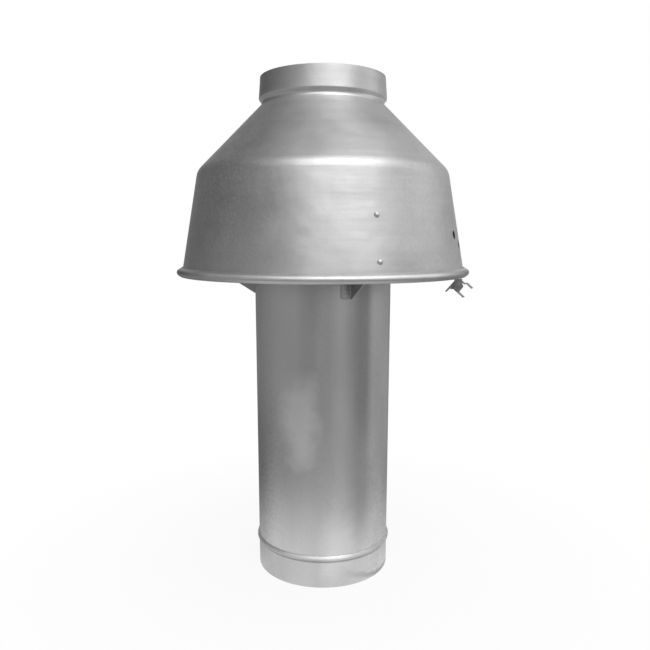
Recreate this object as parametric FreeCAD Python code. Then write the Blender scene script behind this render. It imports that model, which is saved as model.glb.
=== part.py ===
import FreeCAD, Part
import math
import os

# Flue cap: a spun hood held over a flue pipe by three bent brackets.
# Millimetres. The origin is the centre of the pipe's lower end, and +Z is up.
# Angles around the axis are measured from +X towards +Y.

# Flue pipe
PIPE_OUTER_D = 140.0
PIPE_WALL = 1.0
PIPE_LENGTH = 350.0
BEAD_CENTRE_Z = 30.6
BEAD_FOOT_TO_FOOT = 7.4
BEAD_CREST_FLAT = 1.8
BEAD_RISE = 1.9
BEAD_CREST_RADIUS = 2.0
BEAD_FOOT_RADIUS = 1.4
WELD_WIDTH = 3.2
WELD_RISE = 0.35
WELD_ANGLE = 90.0
WELD_STANDOFF = 3.0

# Hood, whose skirt comes down over the upper end of the pipe
HOOD_SHEET = 1.0
SPIGOT_MOUTH_D = 123.6
SPIGOT_BASE_D = 126.8
SPIGOT_HEIGHT = 20.2
SPIGOT_STEP = 3.0
SPIGOT_STEP_RADIUS = 1.6
NECK_D = 121.4
NECK_HEIGHT = 2.6
NECK_RADIUS = 2.0
CONE_ANGLE = 45.0
CONE_FOOT_RADIUS = 3.0
SHOULDER_D = 249.6
SHOULDER_RADIUS = 16.0
SKIRT_BOTTOM_D = 286.7
SKIRT_HEIGHT = 101.5
HOOD_OVERLAP = 37.2

# Folded rim: the sheet turns out and up at the skirt's foot, bends back at its tip
# and ends close to the skirt. Reach and rise go from the foot corner to the tip corner.
RIM_REACH = 5.5
RIM_RISE = 3.9
RIM_RETURN_ANGLE = 31.0
RIM_FOOT_RADIUS = 0.8
RIM_TIP_RADIUS = 2.2
RIM_EDGE_GAP = 0.3

# Sensor holes in the skirt, each an angle and a rise over the skirt's foot
SENSOR_HOLE_D = 6.5
SENSOR_HOLES = ((-25.0, 40.3), (-17.1, 30.9))

# Brackets. Their flanges are placed from the skirt's foot and from the pipe's upper end.
BRACKET_NAMES = ("front", "right", "left")
BRACKET_FIRST_ANGLE = -68.0
BRACKET_SHEET = 1.2
BRACKET_BEND_RADIUS = 0.8
BRACKET_CORNER_RADIUS = 2.5
FLANGE_WIDTH = 10.0
HOOD_FLANGE_RISE = 12.5
HOOD_FLANGE_HEIGHT = 51.0
PIPE_FLANGE_DROP = 6.0
PIPE_FLANGE_HEIGHT = 51.0
WEB_LEVEL_RUN = 14.0
WEB_LAND = 0.5
SEAT_GAP = 0.15

# Round-head rivets, each pair set in from the foot and the top of its flange
RIVET_D = 3.0
RIVET_HEAD_D = 5.25
RIVET_HEAD_HEIGHT = 1.8
RIVET_TAIL_D = 4.8
RIVET_TAIL_HEIGHT = 1.2
RIVET_TAIL_CHAMFER = 0.5
RIVET_HOLE_GAP = 0.1
RIVET_LINE = 5.0
HOOD_RIVET_INSETS = (5.3, 6.8)
PIPE_RIVET_INSETS = (19.0, 10.0)

# Sensor clip under the rim. Its corners are (outward, up) from the corner of the skirt's foot,
# and its stem's inner edge is set from the inside of the skirt.
CLIP_ANGLE = -27.0
CLIP_SHEET = 0.9
CLIP_RIM_GAP = 0.3
CLIP_FLANGE_WIDTH = 10.0
CLIP_FLANGE_FOOT = 10.0
CLIP_FLANGE_HEIGHT = 16.0
CLIP_PLATE_DEPTH = 8.0
CLIP_STEM_LAND = 1.0
CLIP_STEM_OUTER = (2.3, -2.5)
CLIP_HEAD_INNER = (-4.1, -10.5)
CLIP_HEAD_OUTER = (4.7, -7.7)
CLIP_HEAD_TIP = (0.1, -13.7)
CLIP_UPPER_JAW = ((5.6, -5.3), (7.2, -4.3), (12.5, -9.0))
CLIP_LOWER_JAW_TIP = (4.8, -17.7)
CLIP_THUMB_TIP = (-12.4, -12.8)
CLIP_WING_TIP = (-10.2, -10.4)
CLIP_WING_BEND = 25.0
CLIP_FINGER_WIDTH = 5.0

# Reach of the drills on each side of a wall, overlap of the cutting blocks,
# and how near an edge lies to the place where it is looked for
DRILL_REACH = 8.0
CUT_MARGIN = 1.0
EDGE_REACH = 0.2

Z_AXIS = FreeCAD.Vector(0, 0, 1)
Y_AXIS = FreeCAD.Vector(0, 1, 0)
X_AXIS = FreeCAD.Vector(1, 0, 0)
ORIGIN = FreeCAD.Vector(0, 0, 0)

PIPE_R = PIPE_OUTER_D / 2
SKIRT_BOTTOM_Z = PIPE_LENGTH - HOOD_OVERLAP
SKIRT_TOP_Z = SKIRT_BOTTOM_Z + SKIRT_HEIGHT
SKIRT_SLOPE = (SKIRT_BOTTOM_D - SHOULDER_D) / 2 / SKIRT_HEIGHT
SKIRT_TILT = math.degrees(math.atan(SKIRT_SLOPE))
HOOD_WALL_RUN = HOOD_SHEET / math.cos(math.radians(SKIRT_TILT))
RIM_SLOPE = RIM_RISE / RIM_REACH

HOOD_FLANGE_FOOT_Z = SKIRT_BOTTOM_Z + HOOD_FLANGE_RISE
HOOD_FLANGE_TOP_Z = HOOD_FLANGE_FOOT_Z + HOOD_FLANGE_HEIGHT
PIPE_FLANGE_TOP_Z = PIPE_LENGTH - PIPE_FLANGE_DROP
PIPE_FLANGE_FOOT_Z = PIPE_FLANGE_TOP_Z - PIPE_FLANGE_HEIGHT
HOOD_RIVET_Z = (HOOD_FLANGE_FOOT_Z + HOOD_RIVET_INSETS[0], HOOD_FLANGE_TOP_Z - HOOD_RIVET_INSETS[1])
PIPE_RIVET_Z = (PIPE_FLANGE_FOOT_Z + PIPE_RIVET_INSETS[0], PIPE_FLANGE_TOP_Z - PIPE_RIVET_INSETS[1])


def skirt_outer_r(z):
    """Radius of the skirt's outer face at a height."""
    return SKIRT_BOTTOM_D / 2 - (z - SKIRT_BOTTOM_Z) * SKIRT_SLOPE


def skirt_inner_r(z):
    """Radius of the skirt's inner face at a height."""
    return skirt_outer_r(z) - HOOD_WALL_RUN


def point(r, z, y=0.0):
    """A point of a section, which is drawn in the plane y = 0."""
    return FreeCAD.Vector(r, y, z)


def turned(shape, angle):
    """A copy turned about the main axis, in degrees."""
    copy = shape.copy()
    copy.rotate(ORIGIN, Z_AXIS, angle)
    return copy


class SheetPath:
    """A bent sheet's section, drawn along its outer face and thickened to the other side.

    The path turns through concentric arcs, so the sheet keeps its thickness in every bend.
    """

    def __init__(self, thickness):
        self.thickness = thickness
        self.face = []
        self.back = []
        self.at = None

    @staticmethod
    def inward(direction):
        return (direction[1], -direction[0])

    @staticmethod
    def moved(place, direction, length):
        return (place[0] + direction[0] * length, place[1] + direction[1] * length)

    def line_to(self, place, direction):
        if self.at is None:
            self.at = place
            return
        side = self.inward(direction)
        start_back = self.moved(self.at, side, self.thickness)
        end_back = self.moved(place, side, self.thickness)
        self.face.append(Part.LineSegment(point(*self.at), point(*place)).toShape())
        self.back.append(Part.LineSegment(point(*start_back), point(*end_back)).toShape())
        self.at = place

    def bend(self, direction, turn, radius):
        """Turn by an angle in degrees, positive towards the inner side of the sheet."""
        sign = 1 if turn > 0 else -1
        side = self.inward(direction)
        centre = self.moved(self.at, side, sign * radius)
        face = []
        back = []
        for part in (0.0, 0.5, 1.0):
            a = math.radians(-turn * part)
            radial = (-side[0] * sign, -side[1] * sign)
            arm = (radial[0] * math.cos(a) - radial[1] * math.sin(a),
                   radial[0] * math.sin(a) + radial[1] * math.cos(a))
            face.append(self.moved(centre, arm, radius))
            back.append(self.moved(centre, arm, radius - sign * self.thickness))
        self.face.append(Part.Arc(*(point(*p) for p in face)).toShape())
        self.back.append(Part.Arc(*(point(*p) for p in back)).toShape())
        self.at = face[-1]

    def section(self):
        """The closed face between the two sides and the two cut edges."""
        def end_point(edge, last):
            return edge.valueAt(edge.LastParameter if last else edge.FirstParameter)
        caps = [Part.LineSegment(end_point(self.face[0], False), end_point(self.back[0], False)).toShape(),
                Part.LineSegment(end_point(self.face[-1], True), end_point(self.back[-1], True)).toShape()]
        return Part.Face(Part.Wire(Part.__sortEdges__(self.face + self.back + caps)))


def sheet_section(corners, radii, thickness):
    """Section of a sheet through corner points, each inner one rounded at its radius on the outer face."""
    path = SheetPath(thickness)
    directions = []
    for a, b in zip(corners, corners[1:]):
        length = math.dist(a, b)
        directions.append(((b[0] - a[0]) / length, (b[1] - a[1]) / length))
    path.line_to(corners[0], directions[0])
    for i, radius in enumerate(radii):
        before = directions[i]
        after = directions[i + 1]
        cross = before[0] * after[1] - before[1] * after[0]
        turn = -math.degrees(math.atan2(cross, before[0] * after[0] + before[1] * after[1]))
        setback = radius * math.tan(math.radians(abs(turn)) / 2)
        path.line_to(path.moved(corners[i + 1], before, -setback), before)
        path.bend(before, turn, radius)
    path.line_to(corners[-1], directions[-1])
    return path.section()


def spun(section):
    return section.revolve(ORIGIN, Z_AXIS, 360)


def pick_edges(shape, wanted):
    """Edges whose middle point passes a test."""
    found = []
    for edge in shape.Edges:
        middle = edge.valueAt((edge.FirstParameter + edge.LastParameter) / 2)
        if wanted(edge, middle):
            found.append(edge)
    return found


def rim_corners():
    """Corners of the folded rim's outer face: the skirt's foot, the tip and the cut edge."""
    foot = (SKIRT_BOTTOM_D / 2, SKIRT_BOTTOM_Z)
    tip = (foot[0] + RIM_REACH, foot[1] + RIM_RISE)
    back_slope = math.tan(math.radians(RIM_RETURN_ANGLE))
    run = (RIM_REACH + RIM_RISE * SKIRT_SLOPE - RIM_EDGE_GAP) / (1 - back_slope * SKIRT_SLOPE)
    return [foot, tip, (tip[0] - run, tip[1] + run * back_slope)]


def hood_section():
    """Section of the whole hood in one sheet, from the spigot's mouth down to the rim's cut edge."""
    cone_run = math.tan(math.radians(CONE_ANGLE))
    cone_top_z = SKIRT_TOP_Z + (SHOULDER_D - NECK_D) / 2 / cone_run
    neck_top_z = cone_top_z + NECK_HEIGHT
    base_z = neck_top_z + SPIGOT_STEP
    corners = [
        (SPIGOT_MOUTH_D / 2, base_z + SPIGOT_HEIGHT),
        (SPIGOT_BASE_D / 2, base_z),
        (NECK_D / 2, neck_top_z),
        (NECK_D / 2, cone_top_z),
        (SHOULDER_D / 2, SKIRT_TOP_Z),
    ] + rim_corners()
    radii = [SPIGOT_STEP_RADIUS, NECK_RADIUS, CONE_FOOT_RADIUS, SHOULDER_RADIUS, RIM_FOOT_RADIUS, RIM_TIP_RADIUS]
    return sheet_section(corners, radii, HOOD_SHEET)


def under_rim_drop(gap):
    """Vertical distance from the rim's corner line down to a line at a gap below its lower flank."""
    return (HOOD_SHEET + gap) * math.hypot(1, RIM_SLOPE)


def skirt_drill(angle, z, diameter):
    """A short drill through the skirt, square to its face."""
    tilt = math.radians(SKIRT_TILT)
    direction = FreeCAD.Vector(math.cos(tilt), 0, math.sin(tilt))
    start = point(skirt_outer_r(z), z) - direction * DRILL_REACH
    return turned(Part.makeCylinder(diameter / 2, 2 * DRILL_REACH, start, direction), angle)


def bracket_angles():
    count = len(BRACKET_NAMES)
    return [BRACKET_FIRST_ANGLE + i * 360.0 / count for i in range(count)]


def rivet_turn(r):
    """Angle from a bracket's web to its line of rivets, at a radius."""
    return -math.degrees(math.asin(RIVET_LINE / r))


def hood_rivet_seats():
    """Angle and height of each rivet in the skirt."""
    return [(web + rivet_turn(skirt_outer_r(z)), z) for web in bracket_angles() for z in HOOD_RIVET_Z]


def pipe_rivet_seats():
    """Angle and height of each rivet in the pipe."""
    return [(web + rivet_turn(PIPE_R), z) for web in bracket_angles() for z in PIPE_RIVET_Z]


def rivet_hole_d():
    return RIVET_D + 2 * RIVET_HOLE_GAP


def pipe_drill(angle, z, diameter):
    """A short drill through the pipe wall, square to the axis."""
    start = point(PIPE_R - DRILL_REACH, z)
    return turned(Part.makeCylinder(diameter / 2, 2 * DRILL_REACH, start, X_AXIS), angle)


def make_hood():
    """Spun hood: spigot, stepped neck, cone, skirt and folded rim in one sheet."""
    hood = spun(hood_section())
    drills = [skirt_drill(angle, z, rivet_hole_d()) for angle, z in hood_rivet_seats()]
    drills += [skirt_drill(angle, SKIRT_BOTTOM_Z + rise, SENSOR_HOLE_D) for angle, rise in SENSOR_HOLES]
    return hood.cut(drills)


def make_pipe():
    """Rolled pipe with a swaged bead, a welded back seam and the brackets' rivet holes."""
    half_foot = BEAD_FOOT_TO_FOOT / 2
    half_crest = BEAD_CREST_FLAT / 2
    crest_r = PIPE_R + BEAD_RISE
    corners = [
        (PIPE_R, PIPE_LENGTH),
        (PIPE_R, BEAD_CENTRE_Z + half_foot),
        (crest_r, BEAD_CENTRE_Z + half_crest),
        (crest_r, BEAD_CENTRE_Z - half_crest),
        (PIPE_R, BEAD_CENTRE_Z - half_foot),
        (PIPE_R, 0.0),
    ]
    radii = [BEAD_FOOT_RADIUS, BEAD_CREST_RADIUS, BEAD_CREST_RADIUS, BEAD_FOOT_RADIUS]
    pipe = spun(sheet_section(corners, radii, PIPE_WALL))
    pipe = pipe.fuse(make_weld())
    return pipe.cut([pipe_drill(angle, z, rivet_hole_d()) for angle, z in pipe_rivet_seats()])


def make_weld():
    """Low rounded weld along the pipe's back, dressed flush from the bead down."""
    foot_z = BEAD_CENTRE_Z + BEAD_FOOT_TO_FOOT / 2 + WELD_STANDOFF
    half = WELD_WIDTH / 2
    root_r = math.sqrt(PIPE_R ** 2 - half ** 2)
    inner_r = PIPE_R - PIPE_WALL / 2
    left = FreeCAD.Vector(root_r, -half, foot_z)
    right = FreeCAD.Vector(root_r, half, foot_z)
    crown = FreeCAD.Vector(PIPE_R + WELD_RISE, 0, foot_z)
    inner_left = FreeCAD.Vector(inner_r, -half, foot_z)
    inner_right = FreeCAD.Vector(inner_r, half, foot_z)
    outline = Part.Wire([
        Part.Arc(left, crown, right).toShape(),
        Part.makeLine(right, inner_right),
        Part.makeLine(inner_right, inner_left),
        Part.makeLine(inner_left, left),
    ])
    weld = Part.Face(outline).extrude(FreeCAD.Vector(0, 0, PIPE_LENGTH - foot_z))
    bore = Part.makeCylinder(PIPE_R - PIPE_WALL, PIPE_LENGTH)
    return turned(weld.cut(bore), WELD_ANGLE)


def plate(outline, thickness, y=0.0):
    """A flat plate in the radial plane, from (r, z) points, centred on y."""
    corners = [point(r, z, y - thickness / 2) for r, z in outline]
    wire = Part.makePolygon(corners + corners[:1])
    return Part.Face(wire).extrude(FreeCAD.Vector(0, thickness, 0))


def ring(inner_line, outer_line):
    """A spun wall between two straight lines of (r, z) ends."""
    corners = [point(*p) for p in (inner_line[0], outer_line[0], outer_line[1], inner_line[1])]
    return spun(Part.Face(Part.makePolygon(corners + corners[:1])))


def flange_on(wall, thickness, width):
    """The part of a spun wall that makes a flange, flush with the web's far face."""
    room = wall.BoundBox
    block = Part.makeBox(room.XMax + CUT_MARGIN, width + thickness / 2, room.ZLength + 2 * CUT_MARGIN,
                         FreeCAD.Vector(0, -width, room.ZMin - CUT_MARGIN))
    return wall.common(block)


def upright(r, foot_z, top_z):
    """Ends of a line parallel to the axis."""
    return ((r, foot_z), (r, top_z))


def skirt_line(foot_z, top_z, inset):
    """Ends of a line inside the skirt, at a horizontal distance from its inner face."""
    return ((skirt_inner_r(foot_z) - inset, foot_z), (skirt_inner_r(top_z) - inset, top_z))


def make_bracket():
    """Bent gusset: a radial web between a flange on the skirt and a flange on the pipe."""
    run = BRACKET_SHEET / math.cos(math.radians(SKIRT_TILT))
    inner_r = PIPE_R + SEAT_GAP
    land = BRACKET_SHEET + BRACKET_BEND_RADIUS + WEB_LAND
    land_r = inner_r + land
    foot_r = skirt_inner_r(HOOD_FLANGE_FOOT_Z)

    web = plate([
        (inner_r - CUT_MARGIN, PIPE_FLANGE_FOOT_Z),
        (land_r, PIPE_FLANGE_FOOT_Z),
        (foot_r - WEB_LEVEL_RUN, HOOD_FLANGE_FOOT_Z),
        (foot_r + CUT_MARGIN, HOOD_FLANGE_FOOT_Z),
        (foot_r + CUT_MARGIN, HOOD_FLANGE_TOP_Z),
        (skirt_inner_r(HOOD_FLANGE_TOP_Z) - land, HOOD_FLANGE_TOP_Z),
        (land_r, PIPE_FLANGE_TOP_Z),
        (inner_r - CUT_MARGIN, PIPE_FLANGE_TOP_Z),
    ], BRACKET_SHEET)
    web = web.common(ring(upright(inner_r, PIPE_FLANGE_FOOT_Z, HOOD_FLANGE_TOP_Z),
                          skirt_line(PIPE_FLANGE_FOOT_Z, HOOD_FLANGE_TOP_Z, SEAT_GAP)))
    hood_wall = ring(skirt_line(HOOD_FLANGE_FOOT_Z, HOOD_FLANGE_TOP_Z, SEAT_GAP + run),
                     skirt_line(HOOD_FLANGE_FOOT_Z, HOOD_FLANGE_TOP_Z, SEAT_GAP))
    pipe_wall = ring(upright(inner_r, PIPE_FLANGE_FOOT_Z, PIPE_FLANGE_TOP_Z),
                     upright(inner_r + BRACKET_SHEET, PIPE_FLANGE_FOOT_Z, PIPE_FLANGE_TOP_Z))
    flanges = [flange_on(wall, BRACKET_SHEET, FLANGE_WIDTH) for wall in (hood_wall, pipe_wall)]
    bracket = round_corners(round_bends(web.fuse(flanges).removeSplitter(), inner_r))
    drills = [turned(skirt_drill(0.0, z, rivet_hole_d()), rivet_turn(skirt_outer_r(z))) for z in HOOD_RIVET_Z]
    drills += [turned(pipe_drill(0.0, z, rivet_hole_d()), rivet_turn(PIPE_R)) for z in PIPE_RIVET_Z]
    return bracket.cut(drills)


def round_bends(bracket, inner_r):
    """Round each bend inside and outside, so that the sheet keeps its thickness there."""
    half = BRACKET_SHEET / 2
    run = BRACKET_SHEET / math.cos(math.radians(SKIRT_TILT))

    def bend(radii, y):
        def wanted(edge, middle):
            tall = edge.BoundBox.ZLength > min(HOOD_FLANGE_HEIGHT, PIPE_FLANGE_HEIGHT) / 2
            r = math.hypot(middle.x, middle.y)
            near = any(abs(r - wall) < EDGE_REACH for wall in radii(middle.z))
            return tall and near and abs(middle.y - y) < EDGE_REACH
        return wanted

    inside = bend(lambda z: (inner_r + BRACKET_SHEET, skirt_inner_r(z) - SEAT_GAP - run), -half)
    outside = bend(lambda z: (inner_r, skirt_inner_r(z) - SEAT_GAP), half)
    bracket = bracket.makeFillet(BRACKET_BEND_RADIUS, pick_edges(bracket, inside))
    return bracket.makeFillet(BRACKET_BEND_RADIUS + BRACKET_SHEET, pick_edges(bracket, outside))


def round_corners(bracket):
    """Round the free corners of both flanges."""
    def corner(edge, middle):
        return abs(middle.y + FLANGE_WIDTH) < EDGE_REACH and edge.BoundBox.ZLength < EDGE_REACH
    return bracket.makeFillet(BRACKET_CORNER_RADIUS, pick_edges(bracket, corner))


def make_rivet(grip):
    """Round-head rivet along +X: the underside of its head is at 0, its closed tail beyond the grip."""
    half_head = RIVET_HEAD_D / 2
    crown = (half_head ** 2 + RIVET_HEAD_HEIGHT ** 2) / (2 * RIVET_HEAD_HEIGHT)
    lean = math.asin(half_head / crown) / 2
    top = FreeCAD.Vector(RIVET_HEAD_HEIGHT, 0, 0)
    side = FreeCAD.Vector(crown * math.cos(lean) - crown + RIVET_HEAD_HEIGHT, crown * math.sin(lean), 0)
    rim = FreeCAD.Vector(0, half_head, 0)
    shank_r = RIVET_D / 2
    tail_r = RIVET_TAIL_D / 2
    tail_end = -grip - RIVET_TAIL_HEIGHT
    outline = [
        Part.Arc(top, side, rim).toShape(),
        Part.makePolygon([
            rim,
            FreeCAD.Vector(0, shank_r, 0),
            FreeCAD.Vector(-grip, shank_r, 0),
            FreeCAD.Vector(-grip, tail_r, 0),
            FreeCAD.Vector(tail_end, tail_r - RIVET_TAIL_CHAMFER, 0),
            FreeCAD.Vector(tail_end, 0, 0),
            top,
        ]),
    ]
    wire = Part.Wire(outline[:1] + outline[1].Edges)
    return Part.Face(wire).revolve(ORIGIN, X_AXIS, 360)


def sagitta(half_width, r):
    """How far a round face falls away from a flat one over a half width."""
    return r - math.sqrt(r * r - half_width * half_width)


def make_hood_rivet(angle, z):
    """Rivet through the skirt and a bracket's flange, square to the skirt."""
    wall_r = skirt_outer_r(z)
    flange_r = wall_r - HOOD_SHEET - BRACKET_SHEET
    grip = HOOD_SHEET + BRACKET_SHEET + 2 * SEAT_GAP + sagitta(RIVET_TAIL_D / 2, flange_r)
    rivet = make_rivet(grip)
    rivet.rotate(ORIGIN, Y_AXIS, -SKIRT_TILT)
    rivet.translate(point(wall_r, z))
    return turned(rivet, angle)


def make_pipe_rivet(angle, z):
    """Rivet through a bracket's flange and the pipe, square to the axis."""
    flange_r = PIPE_R + SEAT_GAP + BRACKET_SHEET
    grip = flange_r - PIPE_R + PIPE_WALL + SEAT_GAP + sagitta(RIVET_TAIL_D / 2, PIPE_R - PIPE_WALL)
    rivet = make_rivet(grip)
    rivet.translate(point(flange_r, z))
    return turned(rivet, angle)


def strip(path):
    """A bent finger of the clip that follows (r, z) points."""
    half = CLIP_SHEET / 2
    face = []
    back = []
    for i, (r, z) in enumerate(path):
        before = path[max(i - 1, 0)]
        after = path[min(i + 1, len(path) - 1)]
        run = (after[0] - before[0], after[1] - before[1])
        length = math.hypot(*run)
        side = (-run[1] / length * half, run[0] / length * half)
        face.append(point(r + side[0], z + side[1], -half))
        back.append(point(r - side[0], z - side[1], -half))
    wire = Part.makePolygon(face + back[::-1] + face[:1])
    return Part.Face(wire).extrude(FreeCAD.Vector(0, CLIP_FINGER_WIDTH, 0))


def make_sensor_clip():
    """Spring clip: a flange inside the skirt, a stem under the rim, two jaws and a thumb finger."""
    skirt_foot_r = SKIRT_BOTTOM_D / 2

    def from_foot(*offsets):
        return [(skirt_foot_r + out, SKIRT_BOTTOM_Z + up) for out, up in offsets]

    top = hood_section().BoundBox.ZMin - CLIP_RIM_GAP
    foot_z = SKIRT_BOTTOM_Z + CLIP_FLANGE_FOOT
    top_z = foot_z + CLIP_FLANGE_HEIGHT
    run = CLIP_SHEET / math.cos(math.radians(SKIRT_TILT))
    half = CLIP_SHEET / 2
    wall_face = skirt_line(foot_z, top_z, SEAT_GAP)
    stem_outer, inner, outer, tip = from_foot(CLIP_STEM_OUTER, CLIP_HEAD_INNER, CLIP_HEAD_OUTER, CLIP_HEAD_TIP)
    stem_inner = (wall_face[0][0] - CLIP_STEM_LAND, stem_outer[1])
    drop = under_rim_drop(CLIP_RIM_GAP)
    flank_start_r = skirt_foot_r + (top - SKIRT_BOTTOM_Z + drop) / RIM_SLOPE
    flank_end_z = SKIRT_BOTTOM_Z + CLIP_STEM_OUTER[0] * RIM_SLOPE - drop

    body = plate([
        stem_inner,
        inner,
        tip,
        outer,
        stem_outer,
        (stem_outer[0], flank_end_z),
        (flank_start_r, top),
        (wall_face[0][0], top),
        wall_face[0],
        wall_face[1],
        (wall_face[1][0] - CLIP_PLATE_DEPTH, top_z),
        (stem_inner[0], foot_z),
    ], CLIP_SHEET)
    wall = ring(skirt_line(foot_z, top_z, SEAT_GAP + run), wall_face)
    flange = flange_on(wall, CLIP_SHEET, CLIP_FLANGE_WIDTH)

    stem_left = stem_inner[0] + half
    stem_right = stem_outer[0] - half
    thumb = strip([(stem_left, top), (stem_left, stem_inner[1])] + from_foot(CLIP_THUMB_TIP))
    upper_jaw = strip([(stem_right, top), (stem_right, stem_outer[1])] + from_foot(*CLIP_UPPER_JAW))
    lower_jaw = strip([inner, tip] + from_foot(CLIP_LOWER_JAW_TIP))
    wing = plate([(stem_left, stem_inner[1]), (stem_left, inner[1])] + from_foot(CLIP_WING_TIP), CLIP_SHEET)
    wing.rotate(point(stem_left, 0), Z_AXIS, -CLIP_WING_BEND)
    return turned(body.fuse([flange, thumb, upper_jaw, lower_jaw, wing]).removeSplitter(), CLIP_ANGLE)


def nodes():
    """Every node's name and solid."""
    yield "hood", make_hood()
    yield "flue_pipe", make_pipe()
    bracket = make_bracket()
    for name, angle in zip(BRACKET_NAMES, bracket_angles()):
        yield "bracket_" + name, turned(bracket, angle)
    for i, (angle, z) in enumerate(hood_rivet_seats(), 1):
        yield "hood_rivet_%d" % i, make_hood_rivet(angle, z)
    for i, (angle, z) in enumerate(pipe_rivet_seats(), 1):
        yield "pipe_rivet_%d" % i, make_pipe_rivet(angle, z)
    yield "sensor_clip", make_sensor_clip()


def main():
    os.makedirs("parts", exist_ok=True)
    for name, shape in nodes():
        solid, = shape.Solids
        print(name, solid.isValid(), round(solid.Volume, 1))
        solid.exportStep(os.path.join("parts", name + ".step"))


main()
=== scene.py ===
import math
from typing import NamedTuple

import bpy
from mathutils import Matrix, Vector

# A spun metal flue cap on its pipe, seen as in the photograph. Metres, +Z up, the camera on the -Y side.

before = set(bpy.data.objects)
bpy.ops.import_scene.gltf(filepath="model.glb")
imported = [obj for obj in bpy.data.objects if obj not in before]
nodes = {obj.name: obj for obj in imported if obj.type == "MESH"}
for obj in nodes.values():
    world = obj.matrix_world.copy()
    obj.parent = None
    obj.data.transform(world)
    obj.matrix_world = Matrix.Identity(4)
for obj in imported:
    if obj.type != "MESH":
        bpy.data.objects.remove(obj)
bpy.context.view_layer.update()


class Patch(NamedTuple):
    """A soft round patch of another grey: whole up to one distance from its centre, gone at the next."""

    centre: tuple
    whole: float
    gone: float
    share: float
    grey: float
    heights: tuple = ()  # where given, the share grows from 0 between these two heights


# Camera, fitted to the photograph
LENS_MM = 36.62
SENSOR_MM = 36.0
CAMERA_DISTANCE = 0.690
CAMERA_HEIGHT = 0.3507
CAMERA_PITCH = 10.24
SHIFT_X = 0.0032
SHIFT_Y = 0.0489

# Strengths of the room that the metal mirrors, and the parts of the directions over which they blend
ROOM_LEFT_FRONT = 0.27
ROOM_LEFT_BACK = 0.15
ROOM_RIGHT = 0.47
TOP_LEFT = 0.205
TOP_RIGHT = 0.52
FRONT_TO_BACK = (-0.4, 0.4)
LEFT_TO_RIGHT = (-0.65, 0.75)
TOP_LEFT_TO_RIGHT = (-0.5, 0.45)
SIDES_TO_TOP = (0.35, 1.0)
BACKDROP_EDGE = (0.82, 0.98)

# Lamps: azimuth and elevation in degrees as toward() takes them, distance, width and height, power in watts
LIGHT_CENTRE = (0.0, 0.0, 0.35)
LAMPS = {
    "key": (17, 48, 1.9, (2.1, 1.2), 27.5),
    "front_low": (24, 12, 2.2, (1.2, 0.9), 1.6),
    "right": (95, 25, 2.0, (1.0, 1.4), 4.0),
    "top": (82, 68, 2.0, (0.8, 0.8), 2.5),
}

WHITE = (1, 1, 1, 1)
BLACK = (0, 0, 0, 1)
PALE = 0.88
DARK = 0.30

# Part of its values that a noise mostly fills. Greys and roughness run over it.
NOISE_SPAN = (0.35, 0.65)
STEEL_NOISE_SPAN = (0.38, 0.62)
NOISE_MIDDLE = 0.5

# Every span below reads (from, to, result at from, result at to). Side is x, from the photograph's left to
# its right, depth is y, away from the camera, and upward is the z of the surface's normal.
INNER_FACE = (-0.02, -0.005, 1.0, 0.0)

# Hood: strength of the streaks by distance from a line right of the middle, and of the speckle by side
STREAKS_SIDE = 0.037
STREAKS_SPAN = (0.012, 0.040, 2.2, 0.8)
SPECKLE_LEFT = (-0.08, -0.03, 1.0, 0.25)
SPECKLE_RIGHT = (0.055, 0.085, 0.25, 0.7)
SPECKLE_BUMP_SIDE = (-0.09, -0.04, 1.0, 0.6)
RUB_NOISE = (0.4, 0.6, 0.25, 1.0)
RUB_SIDE = (-0.07, -0.01, 0.15, 1.0)

# Hood: the skirt's left foot painted pale as painted light, a painted highlight on the skirt and a dark place
# on the cone
FOOT_SIDE = (-0.050, -0.020, 1.0, 0.0)
FOOT_OUTLINE = (-0.135, -0.100, 0.5, 1.0)
FOOT_HEIGHT = (0.330, 0.385, 0.5, 0.0)
FOOT_PAINTED_LIGHT_GREY = 0.75
SKIRT_PAINTED_HIGHLIGHT = Patch((0.036, -0.131, 0.354), 0.008, 0.034, share=0.22, grey=PALE)
CONE_DARK = Patch((0.036, -0.072, 0.457), 0.006, 0.028, share=0.42, grey=DARK)

# Hood: the folded rim lies outside this radius, and its upper side is painted pale as a highlight in the
# middle and painted dark as shade towards the outline
RIM_R = 0.1456
RIM_EDGE = (RIM_R, RIM_R + 0.001, 0.0, 1.0)
RIM_UPWARD = (-0.3, 0.1, 0.0, 1.0)
RIM_HIGHLIGHT_AND_SHADE_GREY = (0.10, 0.135, 0.86, 0.10)
RIM_SHARE = 0.55

# Hood: the step over the neck and the top of the cone carry a painted highlight, each on a part of its round
STEP_FOOT = (0.4798, 0.4804, 0.0, 1.0)
STEP_TOP = (0.4838, 0.4848, 1.0, 0.0)
STEP_LEFT = (-0.030, -0.008, 0.60, 0.20)
STEP_RIGHT = (0.025, 0.042, 0.20, 1.0)
CONE_RISE = (0.4712, 0.4772, 0.0, 1.0)
CONE_TOP = (0.4772, 0.4780, 1.0, 0.0)
CONE_LEFT = (-0.045, -0.005, 0.0, 0.62)
CONE_RIGHT = (0.012, 0.030, 1.0, 0.0)
STEP_AND_CONE_HIGHLIGHT_GREY = 0.92

# Hood: centres of the two sensor holes in the skirt, and the painted shade round them
SENSOR_HOLES = ((0.12324, -0.05747, 0.3531), (0.13161, -0.04049, 0.3437))
HOLE_EDGE = (0.0036, 0.0046)
HOLE_SHADE_SHARE = 0.92
HOLE_SHADE_GREY = 0.02
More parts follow.
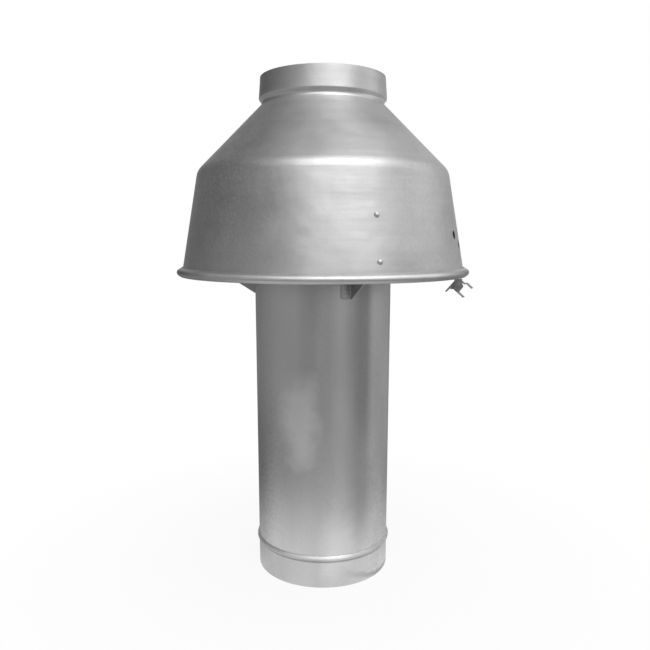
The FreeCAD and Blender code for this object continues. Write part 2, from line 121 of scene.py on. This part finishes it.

# Pipe: strength of the speckle by depth, and the painted reflections down its length, bright and dark bands,
# as points of the plan
SPECKLE_FRONT = (-0.062, -0.038, 0.25, 1.0)
SPECKLE_BACK = (-0.01, 0.04, 1.0, 0.6)
PAINTED_BRIGHT_BAND = Patch((0.0594, -0.0371, 0.0), 0.015, 0.025, share=0.60, grey=PALE, heights=(0.06, 0.16))
PAINTED_LIGHT_STREAK = Patch((0.0187, -0.0675, 0.0), 0.002, 0.013, share=0.35, grey=PALE, heights=(0.12, 0.20))
PAINTED_DARK_BAND = Patch((0.0391, -0.0580, 0.0), 0.004, 0.011, share=0.45, grey=DARK, heights=(0.05, 0.30))

# Pipe: its upper left, painted pale as painted light
UPPER_LEFT_SIDE = (-0.026, -0.010, 1.0, 0.0)
UPPER_LEFT_DEPTH = (-0.020, 0.030, 1.0, 0.0)
UPPER_LEFT_OUTLINE = (-0.069, -0.056, 0.4, 1.0)
UPPER_LEFT_HEIGHT = (0.15, 0.29, 0.0, 0.75)

# Pipe: places in a space that is drawn together along the height and wanders with a noise
WANDER_SCALE = (1.0, 1.0, 0.42)
WANDER_STEP = 0.018
# A painted reflection: a pale patch on the pipe's left front.
PAINTED_PALE_REFLECTION = Patch((-0.0236, -0.0659, 0.0735), 0.010, 0.025, share=0.90, grey=PALE)
LOW_DARK = Patch((0.0391, -0.0581, 0.0372), 0.006, 0.023, share=0.42, grey=DARK)
LOW_PALE = Patch((0.0136, -0.0687, 0.0189), 0.004, 0.022, share=0.42, grey=PALE)

# Pipe: the matt bead, by distance from its middle height, its upper side painted pale as painted light and
# the painted shade line at its foot
BEAD_Z = 0.0306
BEAD_EDGE = (0.0028, 0.0040, 1.0, 0.0)
BEAD_LIGHT_SIDE = (-0.03, 0.025, 0.8, 0.0)
BEAD_LIGHT_UPWARD = (0.05, 0.4, 0.0, 1.0)
BEAD_SHADE_Z = BEAD_Z - 0.0022
BEAD_SHADE_EDGE = (0.0008, 0.0022, 1.0, 0.0)
BEAD_SHADE_SHARE = 0.45
BEAD_SHADE_GREY = 0.12

# Pipe: the darkening of the plain end. On the right it is an uneven dark arc, whose height falls by side, and
# on the left an even painted shade.
DARK_ARC_FALL = (0.023, 0.055, 0.0135, 0.0020)
DARK_ARC_WANDER = 0.008
DARK_ARC_EDGE = (0.0012, 0.0046, 1.0, 0.0)
DARK_ARC_SIDE = (0.018, 0.062, 0.0, 0.85)
DARK_ARC_DEPTH = (-0.026, -0.006, 1.0, 0.0)
LEFT_PAINTED_SHADE = (-0.055, -0.005, 0.34, 0.0)
DARKENING_TOP = (0.0250, 0.0275, 1.0, 0.0)

# Floor: half its side, and the greys in which the metal shows it, as (share of the fade's length, grey)
FLOOR_HALF = 6.0
FLOOR_FADE = 3.5
FLOOR_GREYS = ((0.0, 1.0), (0.054, 1.0), (0.074, 0.60), (0.11, 0.40), (0.286, 0.35), (1.0, 0.27))

# Floor: how much darker the metal shows its far side, by the direction from the axis and by distance
FLOOR_SHADE_BACK = (-0.3, 0.75, 0.0, 1.0)
FLOOR_SHADE_SIDE = (-0.3, 0.3, 0.75, 0.55)
FLOOR_SHADE_DISTANCE = (0.25, 1.0, 1.0, 0.3)

# Floor: the share of plain white that the camera sees, by distance. The rest holds the object's faint shadow.
FLOOR_WHITENESS = (0.08, 0.4, 0.92, 1.0)
FLOOR_DIFFUSE = 0.6


def grey(value):
    return (value, value, value, 1)


class Shader:
    """Builds the nodes of one material, or of the world, a line at a time."""

    def __init__(self, owner, output="OutputMaterial"):
        owner.use_nodes = True
        self.owner = owner
        self.tree = owner.node_tree
        self.tree.nodes.clear()
        self.output = self.node(output)

    def node(self, kind, settings=None, **inputs):
        made = self.tree.nodes.new("ShaderNode" + kind)
        for key, value in (settings or {}).items():
            setattr(made, key, value)
        for key, value in inputs.items():
            self.feed(made, key.replace("_", " "), value)
        return made

    def feed(self, node, socket, value):
        target = node.inputs[socket]
        if isinstance(value, bpy.types.NodeSocket):
            self.tree.links.new(value, target)
        else:
            target.default_value = value

    def indexed(self, kind, settings, *values):
        """A node whose sockets are fed in order, from the first."""
        made = self.node(kind, settings)
        for i, value in enumerate(values):
            self.feed(made, i, value)
        return made

    def math(self, operation, *values):
        return self.indexed("Math", {"operation": operation}, *values).outputs[0]

    def product(self, first, *others):
        for other in others:
            first = self.math("MULTIPLY", first, other)
        return first

    def weighted(self, *pairs):
        """Sum of values, each times its weight."""
        total, *terms = [self.product(value, weight) for value, weight in pairs]
        for term in terms:
            total = self.math("ADD", total, term)
        return total

    def opposite(self, share):
        return self.math("SUBTRACT", 1.0, share)

    def distance_from(self, value, middle):
        return self.math("ABSOLUTE", self.math("SUBTRACT", value, middle))

    def vector_math(self, operation, *values):
        return self.indexed("VectorMath", {"operation": operation}, *values).outputs

    def place(self):
        return self.node("TexCoord").outputs["Object"]

    def normal(self):
        return self.node("TexCoord").outputs["Normal"]

    def split(self, vector):
        """The x, y and z of a vector."""
        return self.node("SeparateXYZ", Vector=vector).outputs

    def stretched(self, vector, scale, offset=(0.0, 0.0, 0.0)):
        """The same place in a space that is stretched along its axes."""
        made = self.node("Mapping", {"vector_type": "POINT"}, Vector=vector, Scale=scale, Location=offset)
        return made.outputs[0]

    def noise(self, vector, scale=1.0, detail=2.0, roughness=0.5, output="Fac"):
        made = self.node("TexNoise", {"noise_dimensions": "3D"}, Vector=vector, Scale=scale, Detail=detail,
                         Roughness=roughness)
        return made.outputs[output]

    def calmed(self, noise, share):
        """A noise drawn in towards its middle value: left as it is at a share of 1, flat at 0."""
        off_middle = self.math("SUBTRACT", noise, NOISE_MIDDLE)
        return self.math("ADD", self.product(off_middle, share), NOISE_MIDDLE)

    def ramp(self, value, *stops):
        """Greys at the stops, which are given as (value, grey)."""
        made = self.node("ValToRGB", Fac=value)
        elements = made.color_ramp.elements
        while len(elements) < len(stops):
            elements.new(0.5)
        for element, (at, level) in zip(elements, stops):
            element.position = at
            element.color = grey(level)
        return made.outputs["Color"]

    def greys(self, noise, darkest, palest, span=NOISE_SPAN):
        """From one grey to the other over the values that the noise mostly fills."""
        return self.ramp(noise, *zip(span, (darkest, palest)))

    def range(self, value, low, high, to_low=0.0, to_high=1.0, **settings):
        return self.indexed("MapRange", settings, value, low, high, to_low, to_high).outputs[0]

    def blend(self, share, first, second):
        """From the first number to the second as the share goes from 0 to 1."""
        return self.node("Mix", {"data_type": "FLOAT"}, Factor=share, A=first, B=second).outputs[0]

    def grey_mix(self, share, first, second):
        """From the first colour to the second as the share goes from 0 to 1."""
        made = self.node("Mix", {"data_type": "RGBA"}, Factor=share)
        self.feed(made, 6, first)
        self.feed(made, 7, second)
        return made.outputs[2]

    def bump(self, height, strength, distance, normal=None):
        made = self.node("Bump", Strength=strength, Distance=distance, Height=height)
        if normal is not None:
            self.feed(made, "Normal", normal)
        return made.outputs["Normal"]

    def metal(self, colour, rough, relief):
        shell = self.node("BsdfPrincipled", Base_Color=colour, Metallic=1.0, Roughness=rough, Normal=relief)
        return self.finish(shell)

    def finish(self, surface):
        self.tree.links.new(surface.outputs[0], self.output.inputs["Surface"])
        return self.owner


def material_shader(name):
    return Shader(bpy.data.materials.new(name))


def flat_length(s, x, y):
    """Distance from the main axis."""
    return s.math("SQRT", s.math("ADD", s.product(x, x), s.product(y, y)))


def faces_axis(s, place):
    """1 on the faces that look towards the main axis, 0 on the outer ones."""
    across = s.vector_math("MULTIPLY", place, (1.0, 1.0, 0.0))[0]
    outward = s.vector_math("DOT_PRODUCT", s.normal(), across)["Value"]
    return s.range(outward, *INNER_FACE)


def near_point(s, place, centre, whole, gone):
    """1 within a short way of a point, 0 further off."""
    gap = s.vector_math("DISTANCE", place, centre)["Value"]
    return s.range(gap, whole, gone, 1.0, 0.0)


def lay(s, colour, patch, place, height=None):
    """The colour with the patch on it. The patch's centre is a point of the same space as the place."""
    share = s.range(height, *patch.heights, 0.0, patch.share) if patch.heights else patch.share
    cover = s.product(near_point(s, place, patch.centre, patch.whole, patch.gone), share)
    return s.grey_mix(cover, colour, grey(patch.grey))


def spun_sheet():
    """Satin spun aluminium: turning streaks, a fine speckle, painted shade round the holes, an inside painted
    darker as shade and made rougher, painted light and painted highlights on the outside.
    """
    s = material_shader("spun_sheet")
    place = s.place()
    side, depth, height = s.split(place)
    radius = flat_length(s, side, depth)
    meridian = s.node("CombineXYZ", X=radius, Y=0.0, Z=height).outputs[0]

    turned = s.noise(meridian, scale=260.0, detail=3.0, roughness=0.55)
    streaks = s.noise(s.stretched(place, (13.0, 13.0, 190.0)))
    streaks = s.calmed(streaks, s.range(s.distance_from(side, STREAKS_SIDE), *STREAKS_SPAN))
    grainy = s.math("MAXIMUM", s.range(side, *SPECKLE_LEFT), s.range(side, *SPECKLE_RIGHT))
    speckle = s.calmed(s.noise(place, scale=420.0, roughness=0.6), grainy)
    clouds = s.noise(place, scale=14.0, detail=3.0, roughness=0.55)

    # The faces towards the axis are painted darker as shade inside the hood, and made rougher.
    inside_shade_and_dullness = faces_axis(s, place)
    outer = s.opposite(inside_shade_and_dullness)
    tone = s.weighted((speckle, 0.42), (clouds, 0.42), (streaks, 0.10), (turned, 0.06))
    colour = s.grey_mix(inside_shade_and_dullness, s.greys(tone, 0.44, 0.65), s.greys(tone, 0.20, 0.32))

    # Painted light: the foot of the skirt's left side is painted pale.
    skirt_foot_painted_light = s.product(s.range(side, *FOOT_SIDE), s.range(side, *FOOT_OUTLINE),
                           s.range(height, *FOOT_HEIGHT))
    colour = s.grey_mix(s.product(skirt_foot_painted_light, outer), colour, grey(FOOT_PAINTED_LIGHT_GREY))
    # Painted highlight on the skirt, right of the middle.
    colour = lay(s, colour, SKIRT_PAINTED_HIGHLIGHT, place)
    colour = lay(s, colour, CONE_DARK, place)

    upward = s.split(s.normal())[2]
    rim = s.product(s.range(radius, *RIM_EDGE), s.range(upward, *RIM_UPWARD))
    # Painted highlight and painted shade on the rim's upper side.
    rim_painted_light = s.range(s.math("ABSOLUTE", side), *RIM_HIGHLIGHT_AND_SHADE_GREY)
    colour = s.grey_mix(s.product(rim, RIM_SHARE), colour, rim_painted_light)

    # Painted highlight on the step over the neck and the top of the cone.
    on_step = s.product(s.range(height, *STEP_FOOT), s.range(height, *STEP_TOP))
    step_round = s.math("MAXIMUM", s.range(side, *STEP_LEFT), s.range(side, *STEP_RIGHT))
    on_cone = s.product(s.range(height, *CONE_RISE), s.range(height, *CONE_TOP))
    cone_round = s.product(s.range(side, *CONE_LEFT), s.range(side, *CONE_RIGHT))
    painted_highlight = s.math("MAXIMUM", s.product(on_step, step_round), s.product(on_cone, cone_round))
    colour = s.grey_mix(s.product(painted_highlight, outer), colour, grey(STEP_AND_CONE_HIGHLIGHT_GREY))

    # Painted shade: a near-black ring round each hole stands for the dark inside seen through it.
    holes = s.math("MAXIMUM", *(near_point(s, place, centre, *HOLE_EDGE) for centre in SENSOR_HOLES))
    colour = s.grey_mix(s.product(holes, HOLE_SHADE_SHARE), colour, grey(HOLE_SHADE_GREY))

    rough = s.range(s.weighted((clouds, 0.6), (speckle, 0.4)), *NOISE_SPAN, 0.43, 0.55)
    rough = s.math("ADD", rough, s.product(inside_shade_and_dullness, 0.12))
    rough = s.math("ADD", rough, s.product(rim, 0.08))

    rubbed = s.range(s.noise(place, scale=9.0, detail=1.0), *RUB_NOISE)
    rubbed = s.product(rubbed, s.range(side, *RUB_SIDE))
    relief = s.bump(turned, strength=0.6, distance=0.00001)
    relief = s.bump(streaks, strength=rubbed, distance=0.00005, normal=relief)
    relief = s.bump(speckle, strength=s.range(side, *SPECKLE_BUMP_SIDE), distance=0.00030, normal=relief)
    relief = s.bump(clouds, strength=1.0, distance=0.0016, normal=relief)
    return s.metal(colour, rough, relief)


def pipe_sheet():
    """Rolled sheet: a half gloss with soft flats down its length, patches of duller gloss, a speckle and a
    matt bead, with painted reflections, painted light and painted shade on it.
    """
    s = material_shader("pipe_sheet")
    place = s.place()
    side, depth, height = s.split(place)

    flats = s.noise(s.stretched(place, (34.0, 34.0, 1.5), (0.4, 0.0, 0.0)), detail=1.0)
    patches = s.noise(s.stretched(place, (20.0, 20.0, 6.0), (2.0, 1.0, 0.0)))
    grainy = s.product(s.range(depth, *SPECKLE_FRONT), s.range(depth, *SPECKLE_BACK))
    speckle = s.calmed(s.noise(place, scale=380.0, roughness=0.6), grainy)
    tone = s.weighted((speckle, 0.42), (patches, 0.42), (flats, 0.16))
    colour = s.greys(tone, 0.44, 0.72)

    # The noise's middle value is taken off the wander, so that on average a place isn't shifted
    plan = s.stretched(place, (1.0, 1.0, 0.0))
    wander = s.vector_math("MULTIPLY", s.noise(place, scale=45.0, output="Color"), (WANDER_STEP,) * 3)[0]
    centred = s.stretched(place, WANDER_SCALE, (-NOISE_MIDDLE * WANDER_STEP,) * 3)
    wandered = s.vector_math("ADD", centred, wander)[0]

    # Painted reflections: a bright band, a light streak and a dark band down the pipe.
    colour = lay(s, colour, PAINTED_BRIGHT_BAND, plan, height)
    # Painted light: the pipe's upper left is painted pale.
    upper_left_painted_light = s.product(s.range(side, *UPPER_LEFT_SIDE), s.range(depth, *UPPER_LEFT_DEPTH),
                           s.range(side, *UPPER_LEFT_OUTLINE), s.range(height, *UPPER_LEFT_HEIGHT))
    colour = s.grey_mix(upper_left_painted_light, colour, grey(PALE))
    # Painted reflection: a pale patch on the pipe's left front.
    colour = lay(s, colour, PAINTED_PALE_REFLECTION, wandered)
    colour = lay(s, colour, PAINTED_LIGHT_STREAK, plan, height)
    colour = lay(s, colour, PAINTED_DARK_BAND, plan, height)
    colour = lay(s, colour, LOW_DARK, wandered)
    colour = lay(s, colour, LOW_PALE, wandered)

    bead = s.range(s.distance_from(height, BEAD_Z), *BEAD_EDGE)
    upward = s.split(s.normal())[2]
    # Painted light: the bead's upper side is painted pale, most on the left.
    bead_top_painted_light = s.product(s.range(side, *BEAD_LIGHT_SIDE), s.range(upward, *BEAD_LIGHT_UPWARD))
    colour = s.grey_mix(s.product(bead, bead_top_painted_light), colour, grey(PALE))
    # Painted shade: a dark line along the bead's lower flank.
    bead_painted_shade = s.range(s.distance_from(height, BEAD_SHADE_Z), *BEAD_SHADE_EDGE)
    colour = s.grey_mix(s.product(bead_painted_shade, BEAD_SHADE_SHARE), colour, grey(BEAD_SHADE_GREY))

    over_fall = s.math("SUBTRACT", height, s.range(side, *DARK_ARC_FALL))
    uneven = s.math("SUBTRACT", s.noise(place, scale=90.0), NOISE_MIDDLE)
    over_fall = s.math("ADD", over_fall, s.product(uneven, DARK_ARC_WANDER))
    dark_arc_and_painted_shade = s.product(s.range(s.math("ABSOLUTE", over_fall), *DARK_ARC_EDGE), s.range(side, *DARK_ARC_SIDE),
                       s.range(depth, *DARK_ARC_DEPTH))
    # Painted shade: the left of the plain end is evenly darker.
    dark_arc_and_painted_shade = s.math("MAXIMUM", dark_arc_and_painted_shade, s.range(side, *LEFT_PAINTED_SHADE))
    colour = s.grey_mix(s.product(dark_arc_and_painted_shade, s.range(height, *DARKENING_TOP)), colour, grey(DARK))

    rough = s.range(s.weighted((patches, 0.7), (speckle, 0.3)), *NOISE_SPAN, 0.32, 0.46)
    rough = s.math("ADD", rough, s.product(bead, 0.20))
    relief = s.bump(speckle, strength=1.0, distance=0.00024)
    relief = s.bump(patches, strength=1.0, distance=0.0012, normal=relief)
    relief = s.bump(flats, strength=1.0, distance=0.0010, normal=relief)
    return s.metal(colour, rough, relief)


def bracket_sheet():
    """Mill-finish sheet with fine rolling lines."""
    s = material_shader("bracket_sheet")
    place = s.place()
    lines = s.noise(s.stretched(place, (100.0, 100.0, 1200.0)))
    clouds = s.noise(place, scale=60.0)
    colour = s.greys(s.weighted((lines, 0.5), (clouds, 0.5)), 0.40, 0.58)
    rough = s.range(clouds, *NOISE_SPAN, 0.30, 0.42)
    return s.metal(colour, rough, s.bump(lines, strength=0.2, distance=0.0001))


def rivet_metal():
    """Cold-headed aluminium, brighter than the sheet, with small set marks."""
    s = material_shader("rivet")
    marks = s.noise(s.place(), scale=700.0, roughness=0.6)
    colour = s.greys(marks, 0.58, 0.72)
    rough = s.range(marks, *NOISE_SPAN, 0.50, 0.64)
    return s.metal(colour, rough, s.bump(marks, strength=0.3, distance=0.0001))


def spring_steel():
    """Dark spring steel, duller where the oil has dried and brighter where it has rubbed."""
    s = material_shader("spring_steel")
    place = s.place()
    rubbed = s.noise(place, scale=180.0, detail=3.0, roughness=0.55)
    grain = s.noise(place, scale=1600.0)
    colour = s.greys(s.weighted((rubbed, 0.7), (grain, 0.3)), 0.38, 0.60, STEEL_NOISE_SPAN)
    rough = s.range(rubbed, *NOISE_SPAN, 0.34, 0.52)
    return s.metal(colour, rough, s.bump(grain, strength=0.3, distance=0.00008))


def floor_material():
    """White floor with a faint shadow, which the metal shows less brightly the further away it lies."""
    s = material_shader("floor")
    side, depth, _ = s.split(s.place())
    distance = flat_length(s, side, depth)
    rays = s.node("LightPath").outputs

    greys = s.ramp(s.math("DIVIDE", distance, FLOOR_FADE), *FLOOR_GREYS)
    shade = s.product(s.range(s.math("DIVIDE", depth, distance), *FLOOR_SHADE_BACK),
                      s.range(s.math("DIVIDE", side, distance), *FLOOR_SHADE_SIDE),
                      s.range(distance, *FLOOR_SHADE_DISTANCE))
    mirrored = s.grey_mix(shade, greys, BLACK)
    glow = s.node("Emission", Color=s.grey_mix(rays["Is Glossy Ray"], WHITE, mirrored), Strength=1.0)

    diffuse = s.node("BsdfDiffuse", Color=grey(FLOOR_DIFFUSE))
    direct = s.math("MAXIMUM", rays["Is Camera Ray"], rays["Is Transmission Ray"])
    shown = s.product(s.range(distance, *FLOOR_WHITENESS), direct)
    mixed = s.node("MixShader", Fac=s.math("MAXIMUM", shown, rays["Is Glossy Ray"]))
    s.feed(mixed, 1, diffuse.outputs[0])
    s.feed(mixed, 2, glow.outputs[0])
    return s.finish(mixed)


def make_world():
    """Plain studio. White behind the object, and a room that is open to the right and shaded on the left."""
    s = Shader(bpy.data.worlds.new("studio"), "OutputWorld")
    rays = s.node("LightPath").outputs
    x, y, z = s.split(s.node("TexCoord").outputs["Generated"])

    def step(value, ends):
        return s.range(value, *ends, interpolation_type="SMOOTHSTEP")

    left = s.blend(step(y, FRONT_TO_BACK), ROOM_LEFT_FRONT, ROOM_LEFT_BACK)
    sides = s.blend(step(x, LEFT_TO_RIGHT), left, ROOM_RIGHT)
    top = s.blend(step(x, TOP_LEFT_TO_RIGHT), TOP_LEFT, TOP_RIGHT)
    room = s.blend(step(z, SIDES_TO_TOP), sides, top)
    backdrop = s.product(step(y, BACKDROP_EDGE), rays["Is Glossy Ray"])
    direct = s.math("MAXIMUM", rays["Is Camera Ray"], rays["Is Transmission Ray"])
    strength = s.blend(direct, s.blend(backdrop, room, 1.0), 1.0)
    bpy.context.scene.world = s.finish(s.node("Background", Color=WHITE, Strength=strength))


def toward(azimuth, elevation, distance):
    """A place round the object, with azimuth 0 on the camera's side and 90 on its right."""
    a, e = math.radians(azimuth), math.radians(elevation)
    return (distance * math.sin(a) * math.cos(e), -distance * math.cos(a) * math.cos(e),
            LIGHT_CENTRE[2] + distance * math.sin(e))


def area_light(name, place, target, size, power):
    data = bpy.data.lights.new(name, "AREA")
    data.shape = "RECTANGLE"
    data.size, data.size_y = size
    data.energy = power
    lamp = bpy.data.objects.new(name, data)
    bpy.context.scene.collection.objects.link(lamp)
    lamp.location = place
    lamp.rotation_euler = (Vector(target) - Vector(place)).to_track_quat("-Z", "Y").to_euler()


def make_lights():
    for name, (azimuth, elevation, distance, size, power) in LAMPS.items():
        area_light(name, toward(azimuth, elevation, distance), LIGHT_CENTRE, size, power)


def make_camera():
    data = bpy.data.cameras.new("camera")
    data.lens = LENS_MM
    data.sensor_width = SENSOR_MM
    data.shift_x = SHIFT_X
    data.shift_y = SHIFT_Y
    camera = bpy.data.objects.new("camera", data)
    bpy.context.scene.collection.objects.link(camera)
    camera.location = (0, -CAMERA_DISTANCE, CAMERA_HEIGHT)
    camera.rotation_euler = (math.radians(90 - CAMERA_PITCH), 0, 0)
    bpy.context.scene.camera = camera


def make_floor():
    mesh = bpy.data.meshes.new("floor")
    corners = [(-1, -1), (1, -1), (1, 1), (-1, 1)]
    mesh.from_pydata([(x * FLOOR_HALF, y * FLOOR_HALF, 0) for x, y in corners], [], [(0, 1, 2, 3)])
    floor = bpy.data.objects.new("floor", mesh)
    bpy.context.scene.collection.objects.link(floor)
    mesh.materials.append(floor_material())


def dress_nodes():
    """Gives each CAD piece its metal: rivets and brackets by their kind, the other pieces by their name."""
    finishes = {
        "hood": spun_sheet(),
        "flue_pipe": pipe_sheet(),
        "bracket": bracket_sheet(),
        "rivet": rivet_metal(),
        "sensor_clip": spring_steel(),
    }
    for name, piece in nodes.items():
        kind = "rivet" if "rivet" in name else "bracket" if name.startswith("bracket") else name
        piece.data.materials.clear()
        piece.data.materials.append(finishes[kind])


dress_nodes()
make_floor()
make_world()
make_lights()
make_camera()
bpy.context.scene.view_settings.view_transform = "Standard"
